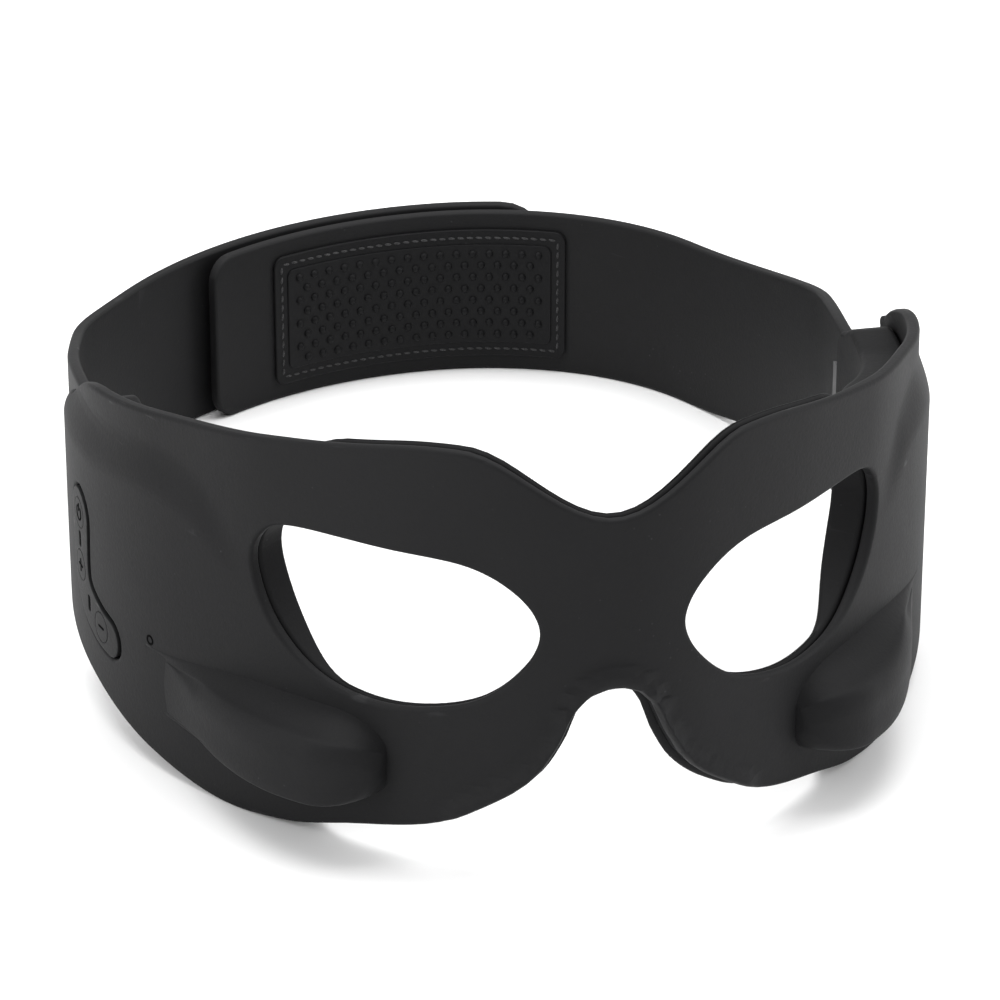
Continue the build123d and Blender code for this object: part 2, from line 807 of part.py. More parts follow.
# ---- straps ----
straps = {
    "strap_inner": (stations(hinge_y, inner_end), inner_near, 1),
    "strap_outer": (stations(outer_start, ring_total - hinge_y), outer_near, -1),
}
for name, (places, near, side) in straps.items():
    axis = root_axis(side)
    with BuildPart() as strap:
        add(strip(ring_frame, places, near, add_thickness(near), strap_low, strap_high))
        with BuildSketch(Plane(origin=axis + Vector(0, 0, bead_low))):
            Circle(bead_radius)
        extrude(amount=bead_high - bead_low)
        with BuildSketch(Plane(origin=axis + Vector(0, 0, bead_low + 0.5))):
            Circle(pin_radius)
        extrude(amount=bead_high - bead_low - 1.0, mode=Mode.SUBTRACT)
    write(strap, name)

# ---- hook and loop patches between the overlapping straps ----
patches = {
    "hook_patch": (patch_play, strap_gap),
    "loop_patch": (-strap_gap, -patch_play),
}
for name, (near, far) in patches.items():
    with BuildPart() as patch:
        add(strip(ring_frame, stations(outer_start + patch_margin, inner_end - patch_margin),
                  flat(near), flat(far), lambda u: strap_low(u) + patch_margin,
                  lambda u: strap_high(u) - patch_margin))
    write(patch, name)

# ---- grip pad on the head side of the inner strap, with its sewn border ----
pad_near = strap_gap + strap_thick
with BuildPart() as grip_pad:
    add(strip(ring_frame, stations(pad_from, pad_to), flat(pad_near), flat(pad_near + pad_thick),
              flat(pad_low), flat(pad_high)))
write(grip_pad, "grip_pad")

seam_near = pad_near + pad_thick + film_play / 2
seam_from = pad_from + pad_seam
seam_to = pad_to - pad_seam
with BuildPart() as grip_stitching:
    for low in (pad_low + pad_seam, pad_high - pad_seam - thread):
        add(strip(ring_frame, stations(seam_from, seam_to), flat(seam_near),
                  flat(seam_near + thread_proud), flat(low), flat(low + thread)))
    for start in (seam_from, seam_to - thread):
        add(strip(ring_frame, stations(start, start + thread), flat(seam_near),
                  flat(seam_near + thread_proud), flat(pad_low + pad_seam),
                  flat(pad_high - pad_seam)))
write(grip_stitching, "grip_stitching")
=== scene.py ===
import json
import math

import bmesh
import bpy
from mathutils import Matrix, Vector


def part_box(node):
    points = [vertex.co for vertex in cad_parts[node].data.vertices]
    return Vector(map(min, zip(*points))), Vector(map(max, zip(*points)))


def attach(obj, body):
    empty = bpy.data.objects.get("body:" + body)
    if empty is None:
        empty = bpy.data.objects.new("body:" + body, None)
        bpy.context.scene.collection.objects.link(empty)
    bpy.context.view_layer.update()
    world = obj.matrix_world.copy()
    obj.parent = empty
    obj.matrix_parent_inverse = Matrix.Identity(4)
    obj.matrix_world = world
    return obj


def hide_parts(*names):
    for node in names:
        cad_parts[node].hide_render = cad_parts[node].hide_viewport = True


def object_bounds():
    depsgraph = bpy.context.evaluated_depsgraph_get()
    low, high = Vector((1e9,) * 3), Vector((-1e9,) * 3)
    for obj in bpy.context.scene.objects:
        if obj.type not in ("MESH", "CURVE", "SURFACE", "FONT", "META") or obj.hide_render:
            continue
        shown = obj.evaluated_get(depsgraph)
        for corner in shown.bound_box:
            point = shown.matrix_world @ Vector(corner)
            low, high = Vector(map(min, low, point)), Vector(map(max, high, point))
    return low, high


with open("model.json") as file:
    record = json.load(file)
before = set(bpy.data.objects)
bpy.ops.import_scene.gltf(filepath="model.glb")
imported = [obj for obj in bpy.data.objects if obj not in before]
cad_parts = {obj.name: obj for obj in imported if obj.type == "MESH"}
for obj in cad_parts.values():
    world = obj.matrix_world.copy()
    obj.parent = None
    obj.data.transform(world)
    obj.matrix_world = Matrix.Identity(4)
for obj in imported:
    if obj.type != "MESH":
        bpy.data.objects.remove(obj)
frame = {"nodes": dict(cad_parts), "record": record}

cad_box = [list(corner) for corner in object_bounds()]
MM = 0.001               # shapes are drawn in millimetres and made in metres
slots = {part["node"]: part["material_slot"] for part in frame["record"]["subparts"]}

# ---- plan of the front and of the strap ring, as chains of tangent arcs ----
front_reach = 91.7
front_arcs = [(38.0, 27.0), (100.0, 42.0), (140.0, 57.0), (75.0, 91.0), (90.0, 130.0)]
wall_end = 134.0
strap_side = 73.8
strap_straight = 37.7
strap_arcs = [(70.3, 100), (111.1, 120), (49.9, 150), (61.3, 180), (77.2, 210),
              (81.3, 240), (39.9, 258), (292.6, 270)]
root_at = 8.0             # distance of each strap root along the ring
inner_end = 196.0         # where the inner strap ends, along the ring
outer_start = 122.5       # where the outer strap's free end lies
plan_y = cad_box[0][1] / MM + front_reach    # where the plan's own zero lies in the frame


def walk(start, heading, arcs, distance):
    """Point and heading reached after a distance along a chain of tangent arcs."""
    x, y = start
    angle = math.radians(heading)
    left = distance
    for radius, end in arcs:
        step = min(left, radius * (math.radians(end) - angle))
        turned = angle + step / radius
        x += radius * (math.sin(turned) - math.sin(angle))
        y += radius * (math.cos(angle) - math.cos(turned))
        angle = turned
        left -= step
        if left <= 1e-9:
            return x, y, angle
    return x + left * math.cos(angle), y + left * math.sin(angle), angle


known_places = {}


def wall_place(s, depth, z):
    """Point of the front: s round the wall, depth in from the outer face, z up."""
    key = ("wall", round(s, 4))
    if key not in known_places:
        x, y, angle = walk((0.0, -front_reach), 0.0, front_arcs, abs(s))
        side = 1.0 if s >= 0 else -1.0
        known_places[key] = (side * x, y, -side * math.sin(angle), math.cos(angle))
    x, y, nx, ny = known_places[key]
    return Vector((x + nx * depth, y + ny * depth + plan_y, z)) * MM


def ring_place(u, depth, z):
    """Point of the strap ring: u from the wearer's left root round the back, depth inwards."""
    key = ("ring", round(u, 4))
    if key not in known_places:
        if u < strap_straight:
            x, y, angle = strap_side, u, math.pi / 2
        else:
            x, y, angle = walk((strap_side, strap_straight), 90.0, strap_arcs, u - strap_straight)
        known_places[key] = (x, y, -math.sin(angle), math.cos(angle))
    x, y, nx, ny = known_places[key]
    return Vector((x + nx * depth, y + ny * depth + plan_y, z)) * MM


def ring_length():
    heading = 90.0
    total = strap_straight
    for radius, end in strap_arcs:
        total += radius * math.radians(end - heading)
        heading = end
    return total + walk((strap_side, strap_straight), 90.0, strap_arcs, total - strap_straight)[1]


ring_total = ring_length()


# ---- outlines of the front ----
def smooth(t):
    t = min(1.0, max(0.0, t))
    return t * t * (3 - 2 * t)


def through(points, s):
    """Smooth curve through the points, never overshooting between them."""
    s = min(max(s, points[0][0]), points[-1][0])
    slopes = [(b[1] - a[1]) / (b[0] - a[0]) for a, b in zip(points, points[1:])]
    tangents = [0.0]
    for before, after in zip(slopes, slopes[1:]):
        tangents.append(0.0 if before * after <= 0 else 2 * before * after / (before + after))
    tangents.append(slopes[-1])
    i = 0
    while i < len(points) - 2 and s > points[i + 1][0]:
        i += 1
    a, b = points[i], points[i + 1]
    span = b[0] - a[0]
    t = (s - a[0]) / span
    return ((2 * t**3 - 3 * t**2 + 1) * a[1] + (t**3 - 2 * t**2 + t) * span * tangents[i]
            + (3 * t**2 - 2 * t**3) * b[1] + (t**3 - t**2) * span * tangents[i + 1])


brow_dip = 65.0
brow_crest = 75.5
crest_at = 25.0
crest_round = 12.0
brow_fall = 0.18
rear_run = 24.0
rear_fall = 13.0
end_round = 5.0           # rounding of the front's lower rear corners
lower_edge = [(0, 35.4), (4, 34.2), (7, 30.5), (9, 25.5), (13, 19.3), (20, 13.8), (30, 8.3),
              (45, 4.6), (58, 1.2), (70, 0.0), (90, 3.0), (112, 8.0), (134, 11.0)]
eye_outline = [(12.2, 45), (15.5, 38), (24, 31.4), (38, 28.4), (51, 30.5), (60, 37.3),
               (64, 47), (61.5, 53.3), (55, 55.9), (38, 56.2), (24, 55.6), (15.5, 51.3)]


def top_edge(s):
    s = abs(s)
    if s < crest_at:
        return brow_dip + (brow_crest - brow_dip) * smooth(s / crest_at)
    past = s - crest_at
    run = past**2 / (2 * crest_round) if past < crest_round else past - crest_round / 2
    height = brow_crest - brow_fall * run
    past_corner = min(1.0, max(0.0, s - wall_end + rear_run) / rear_run)
    return height - rear_fall * (1 - math.sqrt(1 - past_corner**2))


def low_edge(s):
    s = abs(s)
    height = through(lower_edge, s)
    to_corner = s - (wall_end - end_round)
    if to_corner > 0:
        height += end_round - math.sqrt(max(0.0, end_round**2 - to_corner**2))
    return height


def steps(first, last, gap):
    count = max(2, round(abs(last - first) / gap) + 1)
    return [first + (last - first) * i / (count - 1) for i in range(count)]


def smooth_curve(points, parts, closed=False):
    """Points along a smooth curve through the given ones."""
    def near(i):
        return Vector(points[i % len(points) if closed else min(max(i, 0), len(points) - 1)])

    made = []
    for i in range(len(points) if closed else len(points) - 1):
        p0, p1, p2, p3 = (near(i + k) for k in (-1, 0, 1, 2))
        for j in range(parts):
            t = j / parts
            made.append(tuple(0.5 * (2 * p1 + (p2 - p0) * t
                                     + (2 * p0 - 5 * p1 + 4 * p2 - p3) * t**2
                                     + (3 * p1 - p0 - 3 * p2 + p3) * t**3)))
    return made if closed else made + [tuple(points[-1])]


# ---- building bent slabs from outlines ----
def bent_slab(name, loops, place, near, far, edge, cut_s=2.0, cut_z=3.0, edge_steps=3):
    """A sheet cut to the outline loops, with rounded edges, bent to follow a plan curve.

    The first loop is the outside and the others are holes. near and far give the depth of
    its two faces at (s, z)."""
    half = edge + 0.2
    curve = bpy.data.curves.new(name, "CURVE")
    curve.dimensions = "2D"
    curve.fill_mode = "BOTH"
    curve.extrude = half - edge
    curve.bevel_depth = edge
    curve.bevel_resolution = edge_steps
    curve.offset = -edge
    for loop in loops:
        spline = curve.splines.new("POLY")
        spline.points.add(len(loop) - 1)
        for point, (s, z) in zip(spline.points, loop):
            point.co = (s, z, 0, 1)
        spline.use_cyclic_u = True
    holder = bpy.data.objects.new(name + "_outline", curve)
    bpy.context.scene.collection.objects.link(holder)
    bpy.context.view_layer.update()
    mesh = bpy.data.meshes.new_from_object(holder.evaluated_get(
        bpy.context.evaluated_depsgraph_get()))
    bpy.data.objects.remove(holder)
    bpy.data.curves.remove(curve)
    bm = bmesh.new()
    bm.from_mesh(mesh)
    bmesh.ops.remove_doubles(bm, verts=bm.verts, dist=0.002)
    low_s = min(v.co.x for v in bm.verts)
    high_s = max(v.co.x for v in bm.verts)
    low_z = min(v.co.y for v in bm.verts)
    high_z = max(v.co.y for v in bm.verts)
    for s in steps(low_s, high_s, cut_s)[1:-1]:
        bmesh.ops.bisect_plane(bm, geom=bm.verts[:] + bm.edges[:] + bm.faces[:],
                               plane_co=(s, 0, 0), plane_no=(1, 0, 0), dist=1e-4)
    for z in steps(low_z, high_z, cut_z)[1:-1]:
        bmesh.ops.bisect_plane(bm, geom=bm.verts[:] + bm.edges[:] + bm.faces[:],
                               plane_co=(0, z, 0), plane_no=(0, 1, 0), dist=1e-4)
    for v in bm.verts:
        s, z, across = v.co
        if across >= 0:
            depth = near(s, z) + half - across
        else:
            depth = far(s, z) - half - across
        v.co = place(s, depth, z)
    bmesh.ops.recalc_face_normals(bm, faces=bm.faces)
    for face in bm.faces:
        face.smooth = True
    bm.to_mesh(mesh)
    bm.free()
    return finish_mesh(name, mesh)


def finish_mesh(name, mesh):
    mesh.name = name
    made = bpy.data.objects.new(name, mesh)
    bpy.context.scene.collection.objects.link(made)
    return made


def band_loop(first, last, low, high, corners, gap=2.5):
    """Closed outline of a band between two heights: corners gives the radius at each end."""
    loop = []
    ends = [(first, corners[0], low, 180, 1, 1), (last, corners[1], low, 270, -1, 1),
            (last, corners[1], high, 0, -1, -1), (first, corners[0], high, 90, 1, -1)]
    for number, (end, radius, edge, start, along, up) in enumerate(ends):
        centre = (end + along * radius, edge(end + along * radius) + up * radius)
        for angle in steps(start, start + 90, 15):
            turn = math.radians(angle)
            loop.append((centre[0] + radius * math.cos(turn), centre[1] + radius * math.sin(turn)))
        if number == 0:
            loop += [(s, low(s)) for s in steps(first + radius, last - corners[1], gap)[1:-1]]
        if number == 2:
            loop += [(s, high(s)) for s in steps(last - radius, first + corners[0], gap)[1:-1]]
    return loop


def loft(name, rings, place):
    """Skin over rings of (along, depth, height) points, with both ends closed."""
    bm = bmesh.new()
    rows = [[bm.verts.new(place(*point)) for point in ring] for ring in rings]
    for a, b in zip(rows, rows[1:]):
        for i in range(len(a)):
            j = (i + 1) % len(a)
            bm.faces.new((a[i], a[j], b[j], b[i]))
    bm.faces.new(rows[0][::-1])
    bm.faces.new(rows[-1])
    bmesh.ops.recalc_face_normals(bm, faces=bm.faces)
    for face in bm.faces:
        face.smooth = True
    mesh = bpy.data.meshes.new(name)
    bm.to_mesh(mesh)
    bm.free()
    return finish_mesh(name, mesh)


def even_normals(piece):
    modifier = piece.modifiers.new("even", "WEIGHTED_NORMAL")
    modifier.keep_sharp = True
    return piece


# ---- materials ----
class Value:
    """An output of a material's nodes, which takes part in plain arithmetic."""

    def __init__(self, sheet, socket):
        self.sheet = sheet
        self.socket = socket

    def math(self, operation, *values):
        return self.sheet.node("ShaderNodeMath", {"operation": operation}, dict(enumerate(values)))[0]

    def __add__(self, other):
        return self.math("ADD", self, other)

    def __sub__(self, other):
        return self.math("SUBTRACT", self, other)

    def __rsub__(self, other):
        return self.math("SUBTRACT", other, self)

    def __mul__(self, other):
        return self.math("MULTIPLY", self, other)

    def __pow__(self, other):
        return self.math("POWER", self, other)

    def above(self, start, end):
        """0 below start, 1 above end."""
        return self.sheet.node("ShaderNodeMapRange", {"clamp": True},
                               {"Value": self, "From Min": start, "From Max": end})[0]

    __radd__ = __add__
    __rmul__ = __mul__


class Sheet:
    """The nodes of one material."""

    def __init__(self, name):
        self.material = bpy.data.materials.new(name)
        self.material.use_nodes = True
        self.material.node_tree.nodes.clear()
        self.place = self.node("ShaderNodeTexCoord")["Object"]

    def node(self, kind, settings=None, inputs=None):
        made = self.material.node_tree.nodes.new(kind)
        for key, value in (settings or {}).items():
            setattr(made, key, value)
        for key, value in (inputs or {}).items():
            if isinstance(value, Value):
                self.material.node_tree.links.new(value.socket, made.inputs[key])
            else:
                made.inputs[key].default_value = value
        return Outputs(self, made)

    def noise(self, scale, detail=3.0, rough=0.55):
        return self.node("ShaderNodeTexNoise", None, {
            "Vector": self.place, "Scale": scale, "Detail": detail, "Roughness": rough})[0]

    def cells(self, scale):
        return self.node("ShaderNodeTexVoronoi", None, {"Vector": self.place, "Scale": scale})

    def blend(self, share, first, second):
        made = self.node("ShaderNodeMix", {"data_type": "RGBA"}, {0: share, 6: first, 7: second})
        return made[2]

    def bump(self, height, strength, distance):
        return self.node("ShaderNodeBump", None, {
            "Height": height, "Strength": strength, "Distance": distance})[0]

    def finish(self, colour, roughness, normal=None, **uniform):
        inputs = {"Base Color": colour, "Roughness": roughness}
        if normal is not None:
            inputs["Normal"] = normal
        inputs.update({key.replace("_", " "): value for key, value in uniform.items()})
        surface = self.node("ShaderNodeBsdfPrincipled", None, inputs)[0]
        self.node("ShaderNodeOutputMaterial", None, {"Surface": surface})
        return self.material


class Outputs:
    """A node's outputs, by number or name."""

    def __init__(self, sheet, made):
        self.sheet = sheet
        self.made = made

    def __getitem__(self, key):
        return Value(self.sheet, self.made.outputs[key])


def shade(value, share=1.0):
    return (value[0] * share, value[1] * share, value[2] * share, 1.0)


def rubber(name, base, roughness, grain, dust=0.3, sheen=0.0):
    """Matte silicone: cloudy tone, fine grain, specks of dust and a painted highlight that makes the edges
    paler.
    """
    sheet = Sheet(name)
    cloud = sheet.noise(38.0, 4.0)
    fine = sheet.noise(grain, 2.0, 0.7)
    edge = sheet.node("ShaderNodeNewGeometry")["Pointiness"].above(0.56, 0.70)
    speck = 1.0 - sheet.cells(520.0)["Distance"].above(0.05, 0.11)
    speck = speck * sheet.noise(95.0).above(0.52, 0.66)
    tone = sheet.blend(cloud, shade(base, 0.78), shade(base, 1.25))
    # painted highlight: convex edges are lightened towards 2.2 times the base colour
    painted_edge_highlight = sheet.blend(edge * 0.4, tone, shade(base, 2.2))
    colour = sheet.blend(speck * dust, painted_edge_highlight, (0.06, 0.06, 0.062, 1.0))
    rough = cloud * 0.14 + fine * 0.10 - edge * 0.16 + (roughness - 0.12)
    normal = sheet.bump(fine + sheet.noise(grain * 0.22, 2.0) * 0.6, 0.35, 0.00012)
    return sheet.finish(colour, rough, normal, Sheen_Weight=sheen, Specular_IOR_Level=0.11)


def woven(name, base, scale):
    """Hook-and-loop tape or thread: a fuzzy lattice of small loops."""
    sheet = Sheet(name)
    loops = sheet.cells(scale)["Distance"]
    fuzz = sheet.noise(scale * 1.7, 4.0, 0.7)
    colour = sheet.blend(fuzz, shade(base, 0.5), shade(base, 1.9))
    normal = sheet.bump(loops + fuzz * 0.7, 0.9, 0.0004)
    return sheet.finish(colour, fuzz * 0.2 + 0.75, normal, Sheen_Weight=0.1,
                        Specular_IOR_Level=0.15)


def plastic(name, base, roughness, grain=700.0, metal=0.0, coat=0.0, shine=0.5):
    """Moulded plastic, or sheet metal: grain, faint cloudiness and rubbed edges."""
    sheet = Sheet(name)
    cloud = sheet.noise(55.0)
    fine = sheet.noise(grain, 3.0, 0.6)
    edge = sheet.node("ShaderNodeNewGeometry")["Pointiness"].above(0.53, 0.62)
    tone = sheet.blend(cloud, shade(base, 0.85), shade(base, 1.15))
    colour = sheet.blend(edge * 0.4, tone, shade(base, 1.6))
    rough = cloud * 0.12 + fine * 0.08 - edge * 0.08 + (roughness - 0.1)
    normal = sheet.bump(fine, 0.25, 0.00008)
    return sheet.finish(colour, rough, normal, Metallic=metal, Coat_Weight=coat,
                        Specular_IOR_Level=shine)


materials = {
    "black_silicone": rubber("black_silicone", (0.0098, 0.0098, 0.0104), 0.60, 1500.0),
    "liner_silicone": rubber("liner_silicone", (0.0075, 0.0075, 0.008), 0.66, 1300.0, 0.3),
    "strap_silicone": rubber("strap_silicone", (0.0105, 0.0105, 0.011), 0.58, 1700.0),
    "panel_silicone": rubber("panel_silicone", (0.0092, 0.0092, 0.0098), 0.56, 1900.0, 0.2),
    "grip_rubber": rubber("grip_rubber", (0.0065, 0.0065, 0.007), 0.50, 1500.0, 0.2),
    "hook_loop": woven("hook_loop", (0.02, 0.02, 0.02), 1300.0),
    "thread_black": woven("thread_black", (0.035, 0.035, 0.036), 2600.0),
    "core_plastic": plastic("core_plastic", (0.10, 0.10, 0.10), 0.5),
    "case_plastic": plastic("case_plastic", (0.03, 0.03, 0.031), 0.55),
    "flex_film": plastic("flex_film", (0.45, 0.22, 0.04), 0.3, 300.0, 0.0, 0.5),
    "motor_steel": plastic("motor_steel", (0.55, 0.55, 0.57), 0.35, 1600.0, 1.0),
    "screw_steel": plastic("screw_steel", (0.45, 0.45, 0.46), 0.3, 2000.0, 1.0),
    "board_green": plastic("board_green", (0.015, 0.12, 0.05), 0.4, 900.0, 0.0, 0.3),
    "cell_foil": plastic("cell_foil", (0.62, 0.62, 0.64), 0.35, 260.0, 1.0),
    "switch_plastic": plastic("switch_plastic", (0.05, 0.05, 0.05), 0.4),
    "window_smoke": plastic("window_smoke", (0.012, 0.012, 0.014), 0.16, 400.0, 0.0, 0.8),
}
# painted shade: a near-black matte colour for the engraved key signs and the pin hole, standing in for the
# shade inside their recesses
painted_recess_shade = plastic("painted_recess_shade", (0.0025, 0.0025, 0.0025), 0.8, 2500.0, shine=0.02)
for node, made in frame["nodes"].items():
    made.data.materials.clear()
    made.data.materials.append(materials[slots[node]])


def dress(piece, slot, body, *nodes):
    """Gives a piece its material, its body and the CAD nodes it stands for."""
    piece.data.materials.clear()
    piece.data.materials.append(materials[slot])
    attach(piece, body)
    if nodes:
        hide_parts(*nodes)
    return piece


# ---- front shell, liner and nose bead ----
skin_thin = 1.6
skin_thick = 2.2
thick_from = 46.0
corner_at = 64.0
corner_depth = 8.8
temple_depth = 12.0
liner_full = 80.0
liner_thin = 3.5
liner_drop = 7.0          # liner below the front's top edge at the temples
rear_lip = 3.0            # and at the rear corner
liner_rise = 2.0          # liner above the front's lower edge
liner_play = 0.3          # between the front and the liner
valley = [(66, 45), (79, 53), (87, 54), (110, 51), (134, 50)]
valley_step = 2.2
lip_end = wall_end - 4.0
bead_end = 29.0
bead_width = 3.4
bead_proud = 1.3


def skin_depth(s):
    return skin_thin + (skin_thick - skin_thin) * smooth((abs(s) - thick_from) / 16)


def liner_far(s):
    s = abs(s)
    to_corner = smooth((s - thick_from) / (corner_at - thick_from))
    to_temple = smooth((s - corner_at) / (liner_full - corner_at))
    return (liner_thin + (corner_depth - liner_thin) * to_corner
            + (temple_depth - corner_depth) * to_temple)


def step_in(s, z):
    """How far the temple draws in above its bulge."""
    return valley_step * smooth((z - through(valley, abs(s)) + 3) / 9) * smooth((abs(s) - 60) / 28)


def bead(s, z):
    """Rounded bead along the edge of the nose notch."""
    along = smooth((bead_end - abs(s)) / 4)
    across = (z - low_edge(s)) / bead_width if abs(s) > 8 else (z - low_edge(s)) / (bead_width * 1.2)
    return bead_proud * along * math.sqrt(max(0.0, 1 - (2 * across - 1) ** 2)) if 0 < across < 1 else 0.0


def shell_near(s, z):
    return step_in(s, z) - bead(s, z)


def shell_far(s, z):
    return skin_depth(s) + step_in(s, z)


def liner_low(s):
    return low_edge(s) + liner_rise * smooth((abs(s) - corner_at) / 8)


def liner_high(s):
    roof = min(top_edge(min(abs(s), wall_end - rear_run)) - liner_drop, top_edge(s) - rear_lip)
    return top_edge(s) + (roof - top_edge(s)) * smooth((abs(s) - thick_from) / 20)


def mirrored(loop, side):
    return [(side * s, z) for s, z in loop][::side]


def grown(loop, margin):
    middle = (sum(p[0] for p in loop) / len(loop), sum(p[1] for p in loop) / len(loop))
    out = []
    for s, z in loop:
        share = 1 + margin / math.hypot(s - middle[0], z - middle[1])
        out.append((middle[0] + (s - middle[0]) * share, middle[1] + (z - middle[1]) * share))
    return out


eye_loop = smooth_curve(eye_outline, 8, True)
panel_spine = [(-115.5, 36.4), (-115.5, 26.5), (-112.6, 21.8), (-107.0, 19.4), (-102.4, 18.6)]
panel_half = 4.6
panel_narrowing = 1.2     # how much narrower, each side, the strip is at its far end


def stick_loop(spine, widths, grow):
    """Outline round a bent spine, with round ends."""
    left, right = [], []
    for i, (s, z) in enumerate(spine):
        a, b = spine[max(0, i - 1)], spine[min(len(spine) - 1, i + 1)]
        length = math.dist(a, b)
        across = (-(b[1] - a[1]) / length, (b[0] - a[0]) / length)
        w = widths[i] + grow
        left.append((s + across[0] * w, z + across[1] * w))
        right.append((s - across[0] * w, z - across[1] * w))
    ends = []
    for end, before, w in ((spine[-1], spine[-2], widths[-1]), (spine[0], spine[1], widths[0])):
        heading = math.atan2(end[1] - before[1], end[0] - before[0])
        ends.append([(end[0] + (w + grow) * math.cos(heading + math.radians(turn)),
                      end[1] + (w + grow) * math.sin(heading + math.radians(turn)))
                     for turn in steps(75, -75, 15)])
    return left + ends[0] + right[::-1] + ends[1]


spine_curve = smooth_curve(panel_spine, 5)
spine_widths = [panel_half - panel_narrowing * i / (len(spine_curve) - 1) for i in range(len(spine_curve))]
panel_outline = stick_loop(spine_curve, spine_widths, 0.0)
panel_gap_outline = stick_loop(spine_curve, spine_widths, 0.35)

outline = band_loop(-wall_end, wall_end, low_edge, top_edge, (end_round, end_round))
shell = bent_slab("front_shell", [outline, eye_loop, mirrored(eye_loop, -1), panel_gap_outline],
                  wall_place, shell_near, shell_far, 0.7, 1.6, 1.3)
dress(even_normals(shell), "black_silicone", "mask", "front_skin")
liner_outline = band_loop(-lip_end, lip_end, liner_low, liner_high, (4.0, 4.0))
liner_eye = grown(eye_loop, 0.35)
liner = bent_slab("face_liner_pad", [liner_outline, liner_eye, mirrored(liner_eye, -1)], wall_place,
                  lambda s, z: shell_far(s, z) + liner_play, lambda s, z: liner_far(s),
                  0.9, 2.5, 2.5)
dress(even_normals(liner), "liner_silicone", "mask", "face_liner")

bead_rings = []
for s in steps(-bead_end, bead_end, 1.0):
    slope = math.atan2(low_edge(s + 0.5) - low_edge(s - 0.5), 1.0)
    taper = 0.35 + 0.65 * math.sqrt(max(0.0, 1 - (s / (bead_end + 0.5)) ** 6))
    ring = []
    for angle in steps(0, 345, 15):
        turn = math.radians(angle)
        out = 1.5 * taper * math.sin(turn)
        ring.append((s - out * math.sin(slope), liner_thin + 0.55 + 0.9 * taper * math.cos(turn),
                     low_edge(s) + 0.5 + out * math.cos(slope)))
    bead_rings.append(ring)
nose = loft("nose_bead", bead_rings, wall_place)
dress(nose, "liner_silicone", "mask", "nose_pad")

# ---- cheek pods ----
pod_start = 38.0
pod_end = 90.0
pod_reach = 8.6
pod_top = 25.6
pod_ridge = 22.4
pod_foot = 11.0
pod_nose = 11.0
pod_sunk = 0.5           # how far the tail sinks below the wall


def pod_blunt(s):
    """0 at the pod's inner end and 1 where its rounding is over."""
    return math.sqrt(max(0.0, 1 - (1 - min(1.0, (s - pod_start) / pod_nose)) ** 2))


def pod_shape(s):
    """How far the pod stands out at s."""
    tail = 1 - smooth((s - pod_start - 14) / (pod_end - pod_start - 14))
    return pod_reach * pod_blunt(s) * tail - pod_sunk * smooth((s - pod_end + 22) / 20)


def pod_ring(side, s):
    reach = pod_shape(s)
    middle = (pod_top + pod_foot) / 2 - 0.5
    tail = smooth((s - pod_start - 24) / (pod_end - pod_start - 24))
    share = 0.25 + 0.75 * pod_blunt(s)
    upper = middle + (pod_top - middle) * share - 2.6 * tail
    ridge = middle + (pod_ridge - middle) * share - 1.0 * tail
    foot = middle - (middle - pod_foot) * share + 1.5 * tail
    soft = min(1.0, max(0.05, reach) / 3.0)
    corners = [(1.2, upper + 0.6), (0.0, upper), (-0.55 * reach, ridge + 0.35 * (upper - ridge)),
               (-reach + 1.1 * soft, ridge + 0.2), (-reach, ridge - 2.2 * soft),
               (-reach - 0.1, (ridge + foot) / 2), (-reach, foot + 1.5 * soft),
               (-reach + 0.9 * soft, foot + 0.1), (-0.4 * reach, foot - 0.9), (1.2, foot - 1.4)]
    return [(side * s, depth, z) for depth, z in smooth_curve(corners, 4)]


pod_places = [pod_start + 0.05 + pod_nose * (1 - math.cos(math.radians(a))) for a in steps(4, 90, 6)]
pod_places += steps(pod_start + pod_nose + 1.5, pod_end, 1.5)
for name, side in (("left", 1), ("right", -1)):
    pod = loft(f"cheek_pod_{name}", [pod_ring(side, s) for s in pod_places], wall_place)
    dress(pod, "black_silicone", "mask")

# ---- control strip ----
key_cap = 1.1             # depth of the strip's back
strip_proud = 0.25
cap_proud = 0.26
sign_proud = 0.34
key_radius = 2.7
key_places = {"power_key": panel_spine[0], "plus_key": panel_spine[1], "minus_key": (-105.6, 19.2)}
window_places = [(-115.5, 31.45), (-111.2, 21.2)]


def round_loop(centre, radius, count=32):
    return [(centre[0] + radius * math.cos(2 * math.pi * i / count),
             centre[1] + radius * math.sin(2 * math.pi * i / count)) for i in range(count)]


def flat_slab(name, loops, near, far, edge, cut=1.0):
    return even_normals(bent_slab(name, loops, wall_place, lambda s, z: near, lambda s, z: far,
                                  edge, cut, cut))


def window_loop(place, grow):
    half_s, half_z = 0.55 + grow, 1.4 + grow
    return band_loop(place[0] - half_s, place[0] + half_s, lambda s: place[1] - half_z,
                     lambda s: place[1] + half_z, (0.4, 0.4), 1.0)


holes = [round_loop(place, key_radius + 0.05) for place in key_places.values()]
holes += [window_loop(place, 0.05) for place in window_places]
panel = flat_slab("control_strip", [panel_outline] + holes, -strip_proud, key_cap, 0.15)
dress(panel, "panel_silicone", "mask", "button_panel")
windows = [flat_slab(f"light_window_{i + 1}", [window_loop(place, -0.03)], 0.0, key_cap, 0.15, 0.8)
           for i, place in enumerate(window_places)]
for i, window in enumerate(windows):
    dress(window, "window_smoke", "mask", *(["led_windows"] if i == 0 else []))


def bar(name, place, half_s, half_z, body):
    """Raised stroke of a sign on a key, coloured with painted shade."""
    loop = band_loop(place[0] - half_s, place[0] + half_s, lambda s: place[1] - half_z,
                     lambda s: place[1] + half_z, (min(half_s, half_z) * 0.9,) * 2, 0.5)
    stroke = flat_slab(name, [loop], -sign_proud, -0.1, 0.02, 0.6)
    stroke.data.materials.append(painted_recess_shade)
    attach(stroke, body)


